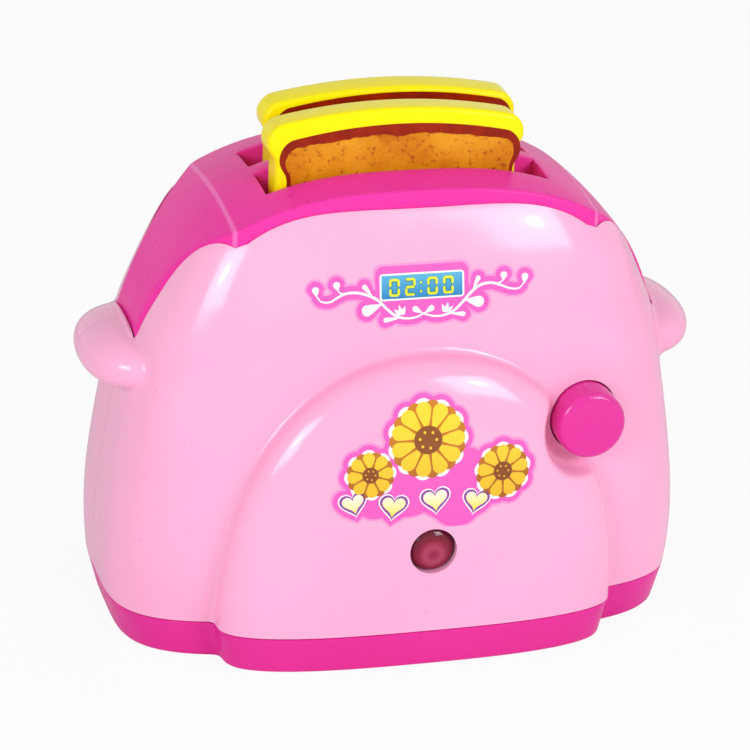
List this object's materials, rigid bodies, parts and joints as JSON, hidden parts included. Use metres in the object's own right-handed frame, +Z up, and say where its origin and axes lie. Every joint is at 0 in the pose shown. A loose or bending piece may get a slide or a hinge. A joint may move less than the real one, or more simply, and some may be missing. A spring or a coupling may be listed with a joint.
{
  "type": "toy bread machine",
  "caption": "Toy toaster with domed housing halves, slotted top cover, rounded ears, arch panel with push button, and two pretend bread slices that slide down and pop up.",
  "frame": {"origin": "on the table under the middle of the body, on the base's flat underside", "axes": "+X to the right as seen from the front, +Y to the rear, +Z up"},
  "size_m": [0.1332, 0.0746, 0.1128],
  "materials": {
    "pink_plastic": "gloss",
    "magenta_plastic": "gloss",
    "yellow_plastic": "gloss",
    "wine_lens": "gloss",
    "white_plastic": "satin",
    "clear_resin": "gloss",
    "black_plastic": "satin",
    "circuit_board": "satin",
    "cell": "satin",
    "steel": "satin"
  },
  "bodies": {
    "body": {"housing_front": "pink_plastic", "housing_rear": "pink_plastic", "top_cover": "magenta_plastic", "base": "magenta_plastic", "battery_door": "magenta_plastic", "battery_door_screw": "steel", "base_screw_1": "steel", "base_screw_2": "steel", "base_screw_3": "steel", "base_screw_4": "steel", "rear_screw_left": "steel", "rear_screw_right": "steel", "guide_rod_left": "steel", "guide_rod_right": "steel", "lift_spring_left": "steel", "lift_spring_right": "steel", "latch_finger": "steel", "latch_screw": "steel", "indicator_lens": "wine_lens", "led_lamp": "clear_resin", "led_board": "circuit_board", "led_board_screw_1": "steel", "led_board_screw_2": "steel", "battery_1": "cell", "battery_2": "cell", "contact_positive": "steel", "contact_negative": "steel", "contact_bridge": "steel", "switch_leaf_fixed": "steel", "switch_leaf_moving": "steel", "switch_spacer": "black_plastic", "switch_screw": "steel"},
    "carriage": {"carriage": "white_plastic"},
    "front_slice": {"slice_front": "yellow_plastic"},
    "rear_slice": {"slice_rear": "yellow_plastic"},
    "push_button": {"button": "magenta_plastic"}
  },
  "joints": [
    {"name": "carriage_slide", "type": "slide", "parent": "body", "child": "carriage", "axis": [0, 0, 1], "range_m": [-0.016, 0], "stiffness_N_per_m": 50, "springref_m": 0.02, "deforming": ["lift_spring_left", "lift_spring_right"]},
    {"name": "slice_front_lift", "type": "slide", "parent": "carriage", "child": "front_slice", "axis": [0, 0.0262, 0.9997], "range_m": [0, 0.055]},
    {"name": "slice_rear_lift", "type": "slide", "parent": "carriage", "child": "rear_slice", "axis": [0, -0.0523, 0.9986], "range_m": [0, 0.055]},
    {"name": "button_press", "type": "slide", "parent": "body", "child": "push_button", "axis": [0, 1, 0], "range_m": [0, 0.003], "stiffness_N_per_m": 300, "springref_m": -0.003, "deforming": ["latch_finger"]}
  ]
}
